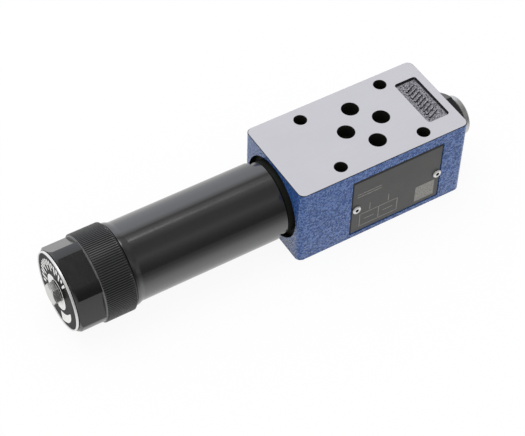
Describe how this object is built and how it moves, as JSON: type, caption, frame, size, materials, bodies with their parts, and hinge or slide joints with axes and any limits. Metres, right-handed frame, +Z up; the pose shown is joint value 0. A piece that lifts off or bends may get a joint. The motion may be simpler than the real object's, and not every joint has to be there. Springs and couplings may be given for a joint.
{
  "type": "sandwich plate pressure reducing valve",
  "caption": "Hydraulic sandwich plate valve: a painted block with through ports and bolt holes, a long black spring sleeve with a knurled adjusting knob, and a hexagon plug with a gauge port screw.",
  "frame": {"origin": "centre of the four-bolt pattern, on the bottom face of the block", "axes": "+X along the spool bore, away from the adjusting knob; +Y towards the pump port; +Z up, out of the top face"},
  "size_m": [0.1984, 0.0447, 0.04],
  "materials": {
    "block_paint": "blue paint on the sides, ground bright on the top and bottom faces",
    "seal_rubber": "smooth black rubber",
    "plate_metal": "grey anodised sheet",
    "zinc_steel": "zinc plated",
    "black_steel": "blackened and oiled",
    "bright_steel": "ground bright",
    "bush_bronze": "machined bronze",
    "spring_steel": "dark drawn wire",
    "knob_black": "black anodised, knurled ring",
    "dial_print": "black disc with plain white marks"
  },
  "bodies": {
    "valve": {"valve_body": "block_paint", "port_seal_p": "seal_rubber", "port_seal_t": "seal_rubber", "port_seal_a": "seal_rubber", "port_seal_b": "seal_rubber", "nameplate": "plate_metal", "nameplate_rivet_left": "zinc_steel", "nameplate_rivet_right": "zinc_steel", "spring_sleeve": "black_steel", "sleeve_seal": "seal_rubber", "thrust_washer": "bright_steel", "spindle_bush": "bush_bronze", "spindle_seal": "seal_rubber", "setting_spring": "spring_steel", "end_plug": "black_steel", "end_plug_seal": "seal_rubber", "gauge_screw": "zinc_steel", "gauge_screw_seal": "zinc_steel"},
    "knob": {"adjusting_knob": "knob_black", "dial_plate": "dial_print", "dial_ring": "zinc_steel", "knob_screw": "bright_steel", "adjusting_spindle": "bright_steel", "seat_stop_ring": "spring_steel"},
    "spring_seat": {"threaded_spring_seat": "bright_steel"},
    "spool": {"control_spool": "bright_steel", "spool_orifice": "bright_steel", "spool_spring_plate": "bright_steel"}
  },
  "joints": [
    {"name": "knob_turn", "type": "hinge", "parent": "valve", "child": "knob", "pos_m": [-0.11625, 0, 0.02], "axis": [1, 0, 0], "range_deg": [0, 2160]},
    {"name": "spring_seat_travel", "type": "slide", "parent": "valve", "child": "spring_seat", "axis": [1, 0, 0], "range_m": [0, 0.009], "deforming": ["setting_spring"]},
    {"name": "spool_slide", "type": "slide", "parent": "valve", "child": "spool", "axis": [1, 0, 0], "range_m": [-0.003, 0], "stiffness_N_per_m": 300, "springref_m": 0.002, "deforming": ["setting_spring"]}
  ],
  "couplings": [
    {"joint": "spring_seat_travel", "follows": "knob_turn", "m_per_rad": 0.00023873}
  ]
}
